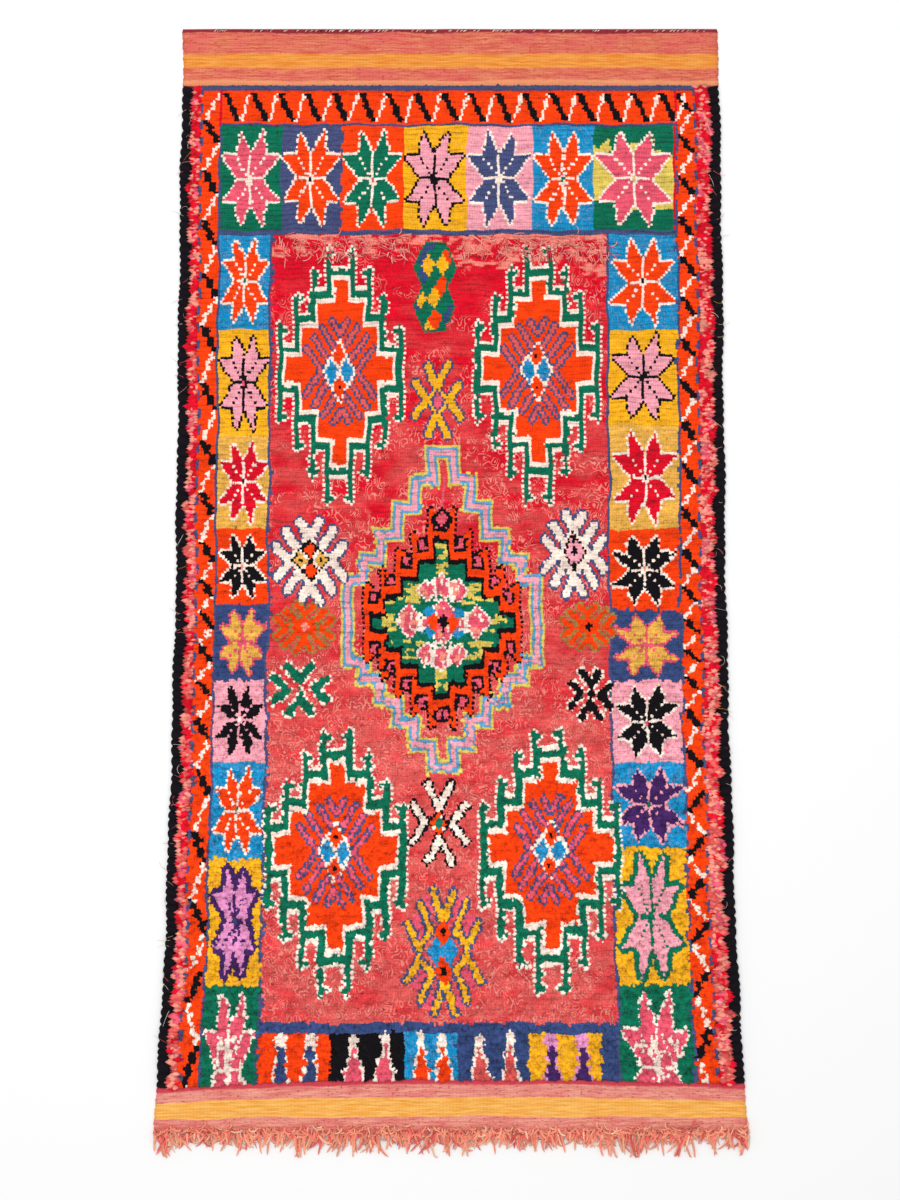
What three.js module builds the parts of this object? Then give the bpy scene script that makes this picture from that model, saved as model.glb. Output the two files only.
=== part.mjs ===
// A hand-knotted wool rug lying flat: a pile field between two flat-woven ends,
// a thick overcast cord down each long side and a warp fringe at the foot end.
import * as THREE from 'three';

// Driving sizes in millimetres: X across, Y along the rug towards its head end, Z up from the floor.
const LENGTH = 2700;
const FRINGE_LENGTH = 55;
const FOOT_WEAVE = 126;
const HEAD_WEAVE = 143;
const WEAVE_THICK = 5;
const PILE_THICK = 15;
const WAVE_ROOM = 1;
const PILE_RISE = 12;
const PILE_EDGE = 10;
const SHOULDER = 1;
const SELVEDGE_WIDTH = 30;
const SELVEDGE_THICK = 11;
const SELVEDGE_SHOULDER = 0.55;
const GAP = 0.3;

// Half the width at stations measured from the fringe tips: the rug flares towards its foot end.
const OUTLINE = [
  { along: 0, half: 696 },
  { along: 160, half: 688 },
  { along: 310, half: 678 },
  { along: 480, half: 671.5 },
  { along: 720, half: 666 },
  { along: 1040, half: 660 },
  { along: 1300, half: 656.5 },
  { along: 1760, half: 657 },
  { along: 2200, half: 658 },
  { along: 2700, half: 654.5 },
];

// Slow waves of the two long edges, each a height, a length and a start for either side.
const EDGE_WAVES = [
  { height: 1.6, length: 410, left: 0.4, right: 2.1 },
  { height: 1.1, length: 173, left: 1.3, right: 0.2 },
];

// The pile's uneven surface: height of each wave, its length along and across, and its start.
const PILE_WAVES = [
  { height: 0.7, along: 520, across: 610, start: 0.3 },
  { height: 0.5, along: 230, across: 340, start: 1.9 },
];

// How far the last rows of pile dip towards the foot at each side, and how far up that reaches.
const FOOT_DIP = { left: 24, right: 13, reach: 150, power: 2.6 };

const PILE_FOOT = FRINGE_LENGTH + FOOT_WEAVE;
const PILE_HEAD = LENGTH - HEAD_WEAVE;
const PILE_STATIONS = 56;
const BODY_COLUMNS = 20;
const SELVEDGE_COLUMNS = 6;

const FRINGE_SPINE = 9;
const FRINGE_THICK = 3.5;
const FRINGE_TEETH = 66;
const TOOTH_ROOT = 13;
const TOOTH_TIP = 5;
const TOOTH_SHORTEST = 0.62;
const TOOTH_LEAN = 4;

// How quickly the teeth's length and lean change from one tooth to the next, in radians a tooth.
const TOOTH_CHANGE = { slow: 0.9, quick: 1.7, start: 0.6, lean: 2.3 };

// Half the width at a place along the rug, straight between stations.
function halfWidth(along) {
  const next = OUTLINE.findIndex((station, index) => index > 0 && along <= station.along);
  const above = OUTLINE[next];
  const below = OUTLINE[next - 1];
  const share = (along - below.along) / (above.along - below.along);
  return THREE.MathUtils.lerp(below.half, above.half, share);
}

// X of the outer edge on one side, with its slow waves; side is -1 on the left and 1 on the right.
function outerEdge(along, side) {
  const wander = EDGE_WAVES.reduce((sum, wave) => {
    const start = side < 0 ? wave.left : wave.right;
    return sum + wave.height * Math.sin((2 * Math.PI * along) / wave.length + start);
  }, 0);
  return side * halfWidth(along) + wander;
}

// The places along the pile where both the body and its side cords have a section.
function pileStations() {
  const low = PILE_FOOT + PILE_RISE;
  const high = PILE_HEAD - PILE_RISE;
  const places = Array.from({ length: PILE_STATIONS + 1 }, (_, station) => station / PILE_STATIONS);
  return places.map((share) => THREE.MathUtils.lerp(low, high, share));
}

// How far a row at this place dips towards the foot, from nothing at mid-width to most at the sides.
function rowDip(along, across) {
  const near = 1 - Math.min(Math.abs(along - PILE_FOOT) / FOOT_DIP.reach, 1);
  const most = across < 0 ? FOOT_DIP.left : FOOT_DIP.right;
  return most * near * Math.abs(across) ** FOOT_DIP.power;
}

// A closed slab lofted along Y over a flat underside. Each section holds its place along the rug and its
// two edges; topAt gives the height above the floor at a section and a share, -1 to 1, across it.
function loftedSlab(sections, columns, topAt, dipAt) {
  const positions = [];
  const faces = [];
  const stride = columns + 3;
  sections.forEach(({ along, left, right }) => {
    const addPoint = (across, height) => {
      const x = THREE.MathUtils.lerp(left, right, (across + 1) / 2);
      positions.push(x, along - dipAt(along, across) - LENGTH / 2, height);
    };
    addPoint(-1, 0);
    addPoint(1, 0);
    for (let column = 0; column <= columns; column += 1) {
      const across = (2 * column) / columns - 1;
      addPoint(across, topAt(along, across));
    }
  });
  const quad = (a, b, c, d) => faces.push(a, b, c, a, c, d);
  for (let section = 0; section < sections.length - 1; section += 1) {
    const here = section * stride;
    const there = here + stride;
    quad(here, there, there + 1, here + 1);
    quad(here, here + 2, there + 2, there);
    quad(here + 1, there + 1, there + stride - 1, here + stride - 1);
    for (let column = 2; column < stride - 1; column += 1) {
      quad(here + column, here + column + 1, there + column + 1, there + column);
    }
  }
  const last = (sections.length - 1) * stride;
  faces.push(0, 1, stride - 1);
  faces.push(last + 1, last, last + stride - 1);
  for (let column = 2; column < stride - 1; column += 1) {
    faces.push(0, column + 1, column);
    faces.push(last, last + column, last + column + 1);
  }
  const geometry = new THREE.BufferGeometry();
  geometry.setAttribute('position', new THREE.Float32BufferAttribute(positions, 3));
  geometry.setIndex(faces);
  geometry.computeVertexNormals();
  return geometry;
}

// Thickness of the woven body: thin at the flat-woven ends, full in the pile and lower at its sides.
function bodyTop(along, across) {
  const rise = Math.min((along - PILE_FOOT) / PILE_RISE, (PILE_HEAD - along) / PILE_RISE);
  const pile = THREE.MathUtils.clamp(rise, 0, 1);
  const swell = PILE_WAVES.reduce((sum, wave) => {
    const lengthwise = Math.sin((2 * Math.PI * along) / wave.along + wave.start);
    const crosswise = Math.cos((2 * Math.PI * across * halfWidth(along)) / wave.across + wave.start);
    return sum + wave.height * lengthwise * crosswise;
  }, 0);
  const full = Math.abs(across) === 1 ? PILE_EDGE : PILE_THICK - WAVE_ROOM + swell;
  return THREE.MathUtils.lerp(WEAVE_THICK, full, pile);
}

// The knotted and woven body: it gives way to the side cords along the pile and keeps full width at the ends.
function rugBody() {
  const sectionAt = (along, inset) => ({
    along,
    left: outerEdge(along, -1) + inset,
    right: outerEdge(along, 1) - inset,
  });
  const inset = SELVEDGE_WIDTH + GAP;
  const sections = [
    sectionAt(FRINGE_LENGTH, 0),
    sectionAt(PILE_FOOT - SHOULDER, 0),
    ...[PILE_FOOT, ...pileStations(), PILE_HEAD].map((along) => sectionAt(along, inset)),
    sectionAt(PILE_HEAD + SHOULDER, 0),
    sectionAt(LENGTH, 0),
  ];
  const dip = (along, across) => (along === FRINGE_LENGTH ? 0 : rowDip(along, across));
  return loftedSlab(sections, BODY_COLUMNS, bodyTop, dip);
}

// One overcast side cord: a low crowned strip that follows the rug's edge along the pile.
function sideCord(side) {
  const dip = (along) => rowDip(along, side);
  const crown = (along, across) => {
    const arch = Math.sqrt(1 - across * across);
    return SELVEDGE_THICK * THREE.MathUtils.lerp(SELVEDGE_SHOULDER, 1, arch);
  };
  const sections = [PILE_FOOT + GAP, ...pileStations(), PILE_HEAD - GAP].map((along) => {
    const outer = outerEdge(along, side);
    const inner = outer - side * SELVEDGE_WIDTH;
    return { along, left: Math.min(outer, inner), right: Math.max(outer, inner) };
  });
  return loftedSlab(sections, SELVEDGE_COLUMNS, crown, dip);
}

// The fringe as one comb: a narrow spine along the foot edge and tapering teeth of uneven length and lean.
function fringeComb() {
  const edge = FRINGE_LENGTH - GAP - LENGTH / 2;
  const root = edge - FRINGE_SPINE;
  const left = outerEdge(FRINGE_LENGTH, -1);
  const right = outerEdge(FRINGE_LENGTH, 1);
  const pitch = (right - left) / FRINGE_TEETH;
  const unevenness = (tooth) => {
    const quick = Math.sin(TOOTH_CHANGE.quick * tooth + TOOTH_CHANGE.start);
    return Math.abs(quick * Math.cos(TOOTH_CHANGE.slow * tooth));
  };
  const teeth = Array.from({ length: FRINGE_TEETH }, (_, tooth) => unevenness(tooth));
  const longest = Math.max(...teeth);
  const outline = new THREE.Shape();
  outline.moveTo(right, edge);
  outline.lineTo(left, edge);
  outline.lineTo(left, root);
  teeth.forEach((uneven, tooth) => {
    const share = THREE.MathUtils.lerp(TOOTH_SHORTEST, 1, uneven / longest);
    const tip = -LENGTH / 2 + (1 - share) * FRINGE_LENGTH;
    const middle = left + (tooth + 0.5) * pitch;
    const lean = TOOTH_LEAN * Math.sin(TOOTH_CHANGE.lean * tooth);
    outline.lineTo(middle - TOOTH_ROOT / 2, root);
    outline.lineTo(middle + lean - TOOTH_TIP / 2, tip);
    outline.lineTo(middle + lean + TOOTH_TIP / 2, tip);
    outline.lineTo(middle + TOOTH_ROOT / 2, root);
  });
  outline.lineTo(right, root);
  outline.closePath();
  return new THREE.ExtrudeGeometry(outline, { depth: FRINGE_THICK, bevelEnabled: false });
}

function wool(color) {
  return new THREE.MeshStandardMaterial({ color, roughness: 0.95, metalness: 0 });
}

const rug = new THREE.Group();
const pieces = [
  { name: 'rug_body', shape: rugBody(), color: 0xd8323a },
  { name: 'left_side_cord', shape: sideCord(-1), color: 0x17141a },
  { name: 'right_side_cord', shape: sideCord(1), color: 0x17141a },
  { name: 'foot_fringe', shape: fringeComb(), color: 0xee9a80 },
];
pieces.forEach(({ name, shape, color }) => {
  const mesh = new THREE.Mesh(shape, wool(color));
  mesh.name = name;
  rug.add(mesh);
});

// The origin is under the middle of the rug's box.
const box = new THREE.Box3().setFromObject(rug);
rug.position.x = -(box.min.x + box.max.x) / 2;
rug.position.y = -(box.min.y + box.max.y) / 2;

export default rug;
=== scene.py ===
import math

import bpy
import numpy as np
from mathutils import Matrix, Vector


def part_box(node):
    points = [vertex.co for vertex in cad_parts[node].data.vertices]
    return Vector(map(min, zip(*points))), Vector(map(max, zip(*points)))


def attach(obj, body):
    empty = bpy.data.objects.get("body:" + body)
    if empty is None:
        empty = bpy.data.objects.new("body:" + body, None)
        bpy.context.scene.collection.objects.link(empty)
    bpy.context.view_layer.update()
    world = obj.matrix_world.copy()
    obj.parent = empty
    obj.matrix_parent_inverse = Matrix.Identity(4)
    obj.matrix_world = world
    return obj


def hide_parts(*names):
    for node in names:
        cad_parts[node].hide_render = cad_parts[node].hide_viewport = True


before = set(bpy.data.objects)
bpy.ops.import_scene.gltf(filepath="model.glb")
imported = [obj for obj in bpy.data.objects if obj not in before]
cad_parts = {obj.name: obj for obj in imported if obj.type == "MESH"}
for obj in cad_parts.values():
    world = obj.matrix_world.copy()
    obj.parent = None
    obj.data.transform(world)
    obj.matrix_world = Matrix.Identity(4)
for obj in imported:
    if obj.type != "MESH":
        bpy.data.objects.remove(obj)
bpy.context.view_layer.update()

# A hand-knotted wool rug on a pale floor: charted pile, flat-woven ends, side cords and warp fringe.
# Sizes in millimetres, the same as the solids': along is measured from the fringe tips to the head end
MM = 0.001
LENGTH = 2700.0
FRINGE_LENGTH = 55.0
PILE_FOOT = 181.0
PILE_HEAD = 2557.0
WEAVE_THICK = 5.0
CORD_WIDTH = 30.0
CORD_THICK = 11.0
PILE_INSET = 20.0
OUTLINE_ALONG = (0, 160, 310, 480, 720, 1040, 1300, 1760, 2200, 2700)
OUTLINE_HALF = (696, 688, 678, 671.5, 666, 660, 656.5, 657, 658, 654.5)
EDGE_WAVES = ((1.6, 410.0, 0.4, 2.1), (1.1, 173.0, 1.3, 0.2))
FOOT_DIP_LEFT, FOOT_DIP_RIGHT, FOOT_DIP_REACH, FOOT_DIP_POWER = 24.0, 13.0, 150.0, 2.6


def half_width(along):
    """Half the rug's width, straight between the outline's stations."""
    return np.interp(along, OUTLINE_ALONG, OUTLINE_HALF)


def outer_edge(along, side):
    """X of one long edge, half the width plus two slow waves; side is -1 on the left, 1 on the right."""
    place = side * half_width(along)
    for height, length, left, right in EDGE_WAVES:
        place = place + height * np.sin(2 * np.pi * along / length + (left if side < 0 else right))
    return place


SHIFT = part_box("foot_fringe")[0].x / MM - outer_edge(FRINGE_LENGTH, -1)


def on_rug(x, along, height):
    """Points in metres from a place across, along and above; rows near the foot dip to it at both sides."""
    across = x / half_width(along)
    near = np.interp(along, (FRINGE_LENGTH, PILE_FOOT, PILE_FOOT + FOOT_DIP_REACH), (0, 1, 0))
    most = np.where(across < 0, FOOT_DIP_LEFT, FOOT_DIP_RIGHT)
    dip = most * near * np.minimum(abs(across), 1) ** FOOT_DIP_POWER
    return np.stack(np.broadcast_arrays(x + SHIFT, along - dip - LENGTH / 2, height), axis=-1) * MM


# Yarn colours as the dyer sees them
YARNS = {
    "crimson": "#D80A26", "coral": "#D95754", "salmon": "#EE8E7E", "orange": "#F44006",
    "green": "#066C50", "cream": "#F6E0D2", "slate": "#464E78", "navy": "#364878",
    "yellow": "#F0AE16", "tan": "#E2AC4A", "blue": "#108ABE", "sky": "#5C9DC4", "pink": "#EC9EAC",
    "rose": "#E0566C", "purple": "#42235E", "mauve": "#D88ABA", "black": "#0E0A10",
    "khaki": "#D8C05A", "olive": "#9A7A40",
}
# Yarns of one pile piece: near colours share a piece
FAMILIES = {
    "crimson_pile": ("crimson",),
    "coral_pile": ("coral", "salmon"),
    "orange_pile": ("orange",),
    "green_pile": ("green",),
    "cream_pile": ("cream",),
    "slate_pile": ("slate", "navy"),
    "yellow_pile": ("yellow", "tan", "khaki", "olive"),
    "blue_pile": ("blue", "sky"),
    "pink_pile": ("pink", "mauve"),
    "rose_pile": ("rose",),
    "black_pile": ("black", "purple"),
}


def linear(code):
    """A colour code such as #E0142F as linear red, green and blue."""
    level = np.array([int(code[place:place + 2], 16) for place in (1, 3, 5)]) / 255
    return np.where(level <= 0.04045, level / 12.92, ((level + 0.055) / 1.055) ** 2.4)


# The knot chart: one yarn for each knot. Places are in charted units, across from the left edge of the pile
# and down from its head end; a knot is a little smaller than a unit.
CHART_WIDE, CHART_TALL = 160.0, 284.0
COLUMNS, ROWS = 224, 398
KNOT = CHART_WIDE / COLUMNS
CODE = {name: index for index, name in enumerate(YARNS)}
WARP, WEFT = np.meshgrid(np.arange(COLUMNS), np.arange(ROWS))
KNOT_COL, KNOT_ROW = (WARP + 0.5) * CHART_WIDE / COLUMNS, (WEFT + 0.5) * CHART_TALL / ROWS
BEADS = (WARP + WEFT) % 2 == 0
BEADED = (WARP + 2 * WEFT) % 5 < 3
chart = np.full((ROWS, COLUMNS), CODE["crimson"], dtype=np.int64)
raised = np.zeros(chart.shape, bool)
frayed = np.zeros(chart.shape, bool)
bare = np.zeros(chart.shape, bool)
dice = np.random.default_rng(41)


def drift(rows, columns):
    """Seeded noise smoothed over some rows and columns, then ranked so that it runs evenly from 0 to 1."""
    noise = dice.random(chart.shape)
    for axis, spread in ((0, rows), (1, columns)):
        window = np.hanning(spread + 2)
        noise = np.apply_along_axis(np.convolve, axis, noise, window, "same")
    return noise.ravel().argsort().argsort().reshape(chart.shape) / noise.size


# Hand-tied edges stray by a knot here and there, most of all towards the foot
STRAY = np.interp(KNOT_ROW, (0, 110, 200, CHART_TALL), (0.2, 0.2, 0.35, 0.5))
COL = KNOT_COL + STRAY * (drift(2, 2) - 0.5)
ROW = KNOT_ROW + STRAY * (drift(2, 2) - 0.5)


def lay(where, yarn, proud=False):
    """Ties every knot of a mask in one yarn, proud where it stands out from its neighbours."""
    chart[where] = CODE[yarn]
    raised[where] = proud


def tied_in(*yarns):
    """The knots tied in any of some yarns."""
    return np.isin(chart, [CODE[yarn] for yarn in yarns])


def block(left, right, top, bottom):
    """The knots whose middles lie in a rectangle."""
    return (COL > left) & (COL < right) & (ROW > top) & (ROW < bottom)


def capped(where):
    """The knots that touch a mask from above or below."""
    near = np.zeros_like(where)
    near[1:] |= where[:-1]
    near[:-1] |= where[1:]
    return near & ~where


def edged(where):
    """The knots that touch a mask from outside, side by side only."""
    near = capped(where)
    near[:, 1:] |= where[:, :-1]
    near[:, :-1] |= where[:, 1:]
    return near & ~where


def stepped(col, row, steps, more_wide=0.0, more_tall=0.0):
    """A stepped lozenge: rectangles round one middle, each half a width, a reach up and a reach down."""
    inside = np.zeros(chart.shape, bool)
    for half, up, down in steps:
        level = (ROW > row - up - more_tall) & (ROW < row + down + more_tall)
        inside |= (abs(COL - col) < half + more_wide) & level
    return inside


def stroke(x, y, start, end, thick):
    """The knots, at x and y, nearer than half a thickness to a straight line."""
    (x0, y0), (x1, y1) = start, end
    share = ((x - x0) * (x1 - x0) + (y - y0) * (y1 - y0)) / ((x1 - x0) ** 2 + (y1 - y0) ** 2)
    share = np.clip(share, 0, 1)
    return np.hypot(x - x0 - share * (x1 - x0), y - y0 - share * (y1 - y0)) < thick / 2


def limbs(col, row, wide, tall, arms, thick):
    """Straight limbs in four mirrored quarters round a middle."""
    x, y = abs(COL - col), abs(ROW - row)
    inside = np.zeros(chart.shape, bool)
    for x0, y0, x1, y1 in arms:
        inside |= stroke(x, y, (x0 * wide, y0 * tall), (x1 * wide, y1 * tall), thick)
    return inside


def diamond(col, row, wide, tall):
    """A plain lozenge, upright on its point."""
    return abs(COL - col) / wide + abs(ROW - row) / tall < 1


def quarters(col, row, aside, down, wide, tall):
    """The same lozenge in four mirrored quarters round a middle, its own middle some way aside and down."""
    return abs(abs(COL - col) - aside) / wide + abs(abs(ROW - row) - down) / tall < 1


# Limbs of the small figures in one quarter: x and y of both ends as shares of the half width and height
FLAKE = ((0, 0.55, 0.28, 0.94), (0.3, 0.25, 0.66, 0.7), (0.62, 0.02, 0.95, 0.36))
VEES = ((0, 0.34, 0.4, 0.92), (0.46, 0.03, 0.9, 0.44))
SPIDERY = (
    (0.04, 0.5, 0.27, 0.95), (0.3, 0.3, 0.6, 0.76), (0.62, 0.06, 0.93, 0.46), (0.3, 0.34, 0.64, 0.08),
)
SPIDER_KNEES = ((0.54, 0.3, 0.7, 0.5), (0.16, 0.7, 0.42, 0.8), (0.5, 0.44, 0.4, 0.6))
FEATHERY = (
    (0.03, 0.72, 0.2, 0.97), (0.14, 0.46, 0.5, 0.86), (0.32, 0.22, 0.74, 0.67), (0.52, 0.02, 0.95, 0.46),
)


def star(left, right, top, bottom, ground, fill, outline, heart, reach=1.0, rims=1):
    """An eight-pointed star: two slim points towards each side of its box, spokes and a small heart.

    In one quarter, with the half width and height as 1, the upright point has its corners at (0, 0),
    (0, 0.5), (0.4, 1) and (0.5, 0.48), and the level one at (0, 0), (0.5, 0.48), (1, 0.48) and (0.42, 0).
    """
    box = block(left, right, top, bottom)
    lay(box, ground)
    middle, level = (left + right) / 2, top + (bottom - top) * reach / 2
    half_wide, half_tall = (right - left) / 2 + 0.6 - rims, (bottom - top) * reach / 2 - 1.4
    x, y = abs(COL - middle) / half_wide, abs(ROW - level) / half_tall
    slope = 0.48 / 0.5
    upright = (y >= slope * x) & (y <= 0.5 + 1.25 * x) & (x <= 0.5 - 0.2 * (y - 0.48)) & (y <= 1)
    sideways = (y < slope * x) & (y <= 0.48) & (y >= 0.85 * (x - 0.42)) & (x <= 1)
    inside = (upright | sideways) & box
    rim = inside
    for _ in range(rims):
        rim = rim | edged(rim)
    lay(rim & box & (BEADED | capped(inside) | (rims > 1)), outline, True)
    lay(inside, fill)
    beads = WEFT % 2 == 0
    spoke = (abs(COL - middle) < 0.55 * KNOT) & (y < 0.5)
    level_spoke = (abs(ROW - level) < 0.55 * KNOT) & (x < 0.42)
    slant = (abs(x - y / slope) * half_wide < 0.55 * KNOT) & beads & (y < 0.46)
    lay(inside & (spoke | level_spoke | slant), outline, True)
    lay(diamond(middle, level, 1.2, 1.9), outline)
    lay((abs(COL - middle) < KNOT / 2) & (abs(ROW - level) < KNOT), heart)


def hooked(col, row, steps, yarns, rises, band_wide, band_tall, pocket=None):
    """A stepped lozenge with an edging and a band, and on each step a hook turned in towards its pocket."""
    body, edge, band = yarns
    lining_wide, lining_tall = KNOT, 2 * KNOT
    ring = stepped(col, row, steps, band_wide, band_tall)
    hollow = np.zeros_like(ring)
    floor = np.zeros_like(ring)
    spots = np.zeros_like(ring)
    for half, up, down in steps:
        beside = abs(COL - col) - half
        above, below = row - up - band_tall - ROW, ROW - row - down - band_tall
        for over, rise in zip((above, below), rises):
            stem = (beside > lining_wide + 0.2) & (beside < band_wide) & (over > -1) & (over < rise)
            barb = (beside > lining_wide - 1.1) & (beside < band_wide - 0.5)
            barb &= abs(over - rise + 0.5) < 0.7
            tip = (abs(beside - band_wide + 0.8) < 0.5) & (over > 0) & (over < rise + 1.1)
            ring |= stem | barb | tip
            within = (beside < lining_wide) & (beside > -6.5) & (over > 0)
            hollow |= within & (over < rise - 0.6)
            floor |= within & (over < 1.1)
            spots |= (abs(beside + 2.2) < 0.8) & (abs(over - rise * 0.45) < 0.8)
    if pocket:
        lay(hollow, pocket)
        lay(edged(~hollow) | spots, edge)
    else:
        lay(floor, edge)
    lay(edged(ring) & BEADS, edge, True)
    lay(capped(ring) & BEADED, edge, True)
    lay(ring, band)
    lay(stepped(col, row, steps, lining_wide, lining_tall), edge, True)
    lay(stepped(col, row, steps), body)


def figure(col, row, wide, tall, arms, thick, fill, outline, closed=False, body=0.36):
    """A small figure of straight limbs round a lozenge body, with a dotted or closed outline."""
    inside = limbs(col, row, wide, tall, arms, thick) | diamond(col, row, wide * body, tall * body)
    lay(edged(inside) & (BEADED | closed), outline)
    lay(inside, fill)


def triangle(col, top, half, yarn, edge):
    """A stepped tree with an edged point and a tier every few rows, or a slim candle of three swellings."""
    rise = (ROW - top) / (CHART_TALL - top)
    tree = 0.5 + np.floor(np.clip(rise - 0.28, 0, 1) * 4.3) / 3 * (half - 0.5)
    candle = np.where(rise > 0.84, half + 0.4, half * (0.5 + 0.5 * abs(np.sin(3.3 * np.pi * rise))))
    shape = (abs(COL - col) < (tree if half > 2 else candle)) & (ROW > top)
    lay(edged(shape) & (ROW > top - 1) & ((half > 2) | (WEFT % 4 < 3)), edge)
    lay(shape, yarn)
    lay(shape & (rise < 0.24), edge)


# Field: crimson that fades to coral towards the foot, with a frayed pale band at its head
fade = np.interp(ROW, (60, 110, 150, 200, CHART_TALL), (0.0, 0.3, 0.5, 0.8, 0.85))
fade = np.clip(fade + 0.8 * (drift(7, 15) - 0.5) * np.interp(ROW, (50, 90), (0.2, 1)), 0, 1)
pale_reach = np.interp(COL, (60, 100), (49.4, 55))
paleness = np.clip((pale_reach - ROW) / 6 + 3.2 * (drift(2, 6) - 0.6), 0, 0.85) * (ROW < pale_reach + 1.2)
lay(fade > 0.5, "coral")
field = chart.copy()


LEFT_BORDER, RIGHT_BORDER = (3.8, 9.3), (5.0, 11)
BARE_EDGE = 1.5


def side_border(outer, inner, mirrored):
    """Frayed edge tufts, a dotted slate line, an orange strip and a slate line, by places from one side."""
    depth = CHART_WIDE - COL if mirrored else COL
    lobes = drift(7, 3)
    red = np.interp(ROW, (0, 120, 240), (0.45, 0.4, 0.12))
    for share, yarn in ((0, "crimson"), (red, "coral"), (0.6, "salmon"), (0.86, "rose")):
        lay((depth < outer) & (lobes >= share), yarn)
    flecks = dice.random(chart.shape)
    lay((depth < outer) & (flecks > 0.88), "salmon")
    lay((depth < outer) & (flecks < 0.12), "crimson")
    frayed[depth < outer] = True
    bare[depth < BARE_EDGE + drift(6, 1) - 0.5] = True
    lay((depth > outer) & (depth < inner), "orange")
    lay((depth > outer) & (depth < outer + KNOT) & (WEFT % 7 < 4), "slate")
    lay((depth > inner) & (depth < inner + KNOT) & (ROW > 12), "slate")


def zigzag(outer, inner, mirrored, rows, pitches, flip_row):
    """A beaded cream stroke and a thick black one in turn down an orange border, as a maker steps them."""
    depth = CHART_WIDE - COL if mirrored else COL
    near, far = outer + 1.3, inner - 0.5
    row = 2.5
    cream = not mirrored
    while row < CHART_TALL:
        pitch = np.interp(row, rows, pitches) * (1.06 if cream else 0.94)
        share = (ROW - row) / pitch
        outward = cream ^ (row > flip_row) ^ mirrored
        place = far + share * (near - far) if outward else near + share * (far - near)
        wobble = 0.7 * (WEFT // 2 % 2) - 0.35
        stripe = (share > 0) & (share < 1) & (abs(depth - place + wobble) < (0.6 if cream else 1.05))
        lay(stripe & (depth > outer + KNOT) & (depth < inner), "cream" if cream else "black")
        row += pitch
        cream = not cream


# Pitch of the zigzag strokes by row, down either side
LEFT_ROWS = (0, 63, 78, 92, 107, 123, 138, 150, 168, 180, 192, 205, 284)
LEFT_PITCHES = (7.4, 7.6, 8.9, 8.2, 7.3, 7.4, 5.3, 4.5, 5.0, 5.6, 7.8, 9.4, 10.2)
RIGHT_ROWS = (0, 97, 110, 133, 150, 165, 180, 200, 235, 252, 284)
RIGHT_PITCHES = (6.0, 6.0, 6.6, 5.6, 4.6, 3.8, 5.3, 6.2, 6.0, 7.3, 9.6)
side_border(*LEFT_BORDER, False)
side_border(*RIGHT_BORDER, True)
zigzag(*LEFT_BORDER, False, LEFT_ROWS, LEFT_PITCHES, 246)
zigzag(*RIGHT_BORDER, True, RIGHT_ROWS, RIGHT_PITCHES, 198)

# Head band: slanting black strokes and beaded cream ones between two slate lines
lay(block(10, 148.5, 0, 12), "orange")
lay(block(4.3, 155.0, 0, 1.3), "slate")
lay(block(10, 149, 11.2, 12.2), "slate")
fall = (ROW - 2.0) / 8.6
for start in np.arange(11, 146, 8.35):
    chunk = 0.25 * np.sin(ROW * 2.4 + start)
    lay((abs(COL - start - 3.6 * fall - chunk) < 0.95) & (abs(fall - 0.5) < 0.5), "black")
    lay((abs(COL - start - 7.6 + 3.0 * fall + chunk) < 0.45) & (abs(fall - 0.5) < 0.5), "cream")

# Star boxes across the head end: right-hand edge, ground, fill, outline and heart
HEAD_STARS = (
    (28.4, "green", "rose", "cream", "cream"),
    (46.8, "slate", "orange", "cream", "black"),
    (65.5, "orange", "green", "cream", "rose"),
    (84.8, "yellow", "pink", "black", "black"),
    (104.8, "pink", "slate", "cream", "cream"),
    (123.8, "blue", "orange", "cream", "green"),
    (148.0, "green", "rose", "cream", "khaki"),
)
left = 10
for right, *yarns in HEAD_STARS:
    star(left, right, 12.2, 43.2, *yarns)
    left = right
faded = tied_in("green") & (abs(ROW - 27) < 3 + 9 * drift(5, 7))
lay(block(123.8, 148, 12.2, 43) & faded, "khaki")
lay(block(10, 148.3, 43, 44.4), "slate")

# Star boxes down either side: last row, ground, fill, outline and heart
LEFT_STARS = (
    (72, "blue", "orange", "cream", "green"),
    (103, "yellow", "pink", "black", "rose"),
    (130, "tan", "crimson", "cream", "black"),
    (151, "orange", "black", "cream", "salmon"),
    (173, "navy", "tan", "rose", "rose"),
    (196, "pink", "black", "pink", "cream"),
    (223, "blue", "orange", "cream", "green"),
    (258, "yellow", "mauve", "purple", "navy"),
)
RIGHT_STARS = (
    (72, "blue", "orange", "cream", "black"),
    (100, "yellow", "pink", "black", "black"),
    (130, "tan", "crimson", "cream", "black"),
    (153, "orange", "black", "cream", "salmon"),
    (173, "navy", "tan", "rose", "rose"),
    (196, "pink", "black", "cream", "rose"),
    (220, "blue", "purple", "pink", "green"),
    (258, "yellow", "pink", "green", "green"),
)
for left, right, stars in ((10, 25.4, LEFT_STARS), (128, 148.3, RIGHT_STARS)):
    top = 44
    for bottom, *yarns in stars:
        star(left, right, top, bottom, *yarns, rims=2 if bottom == 258 else 1)
        top = bottom
    star(left, right, top, CHART_TALL, "green", "rose", "cream", "cream", reach=1.7)
    streaks = tied_in("rose") & (drift(5, 1) > 0.72)
    lay(block(left + 4, right - 4, CHART_TALL - 13, CHART_TALL) & streaks, "cream")
lay(block(25.2, 26.0, 44, CHART_TALL), "slate")
lay(block(127.2, 128, 44, CHART_TALL), "slate")

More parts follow.
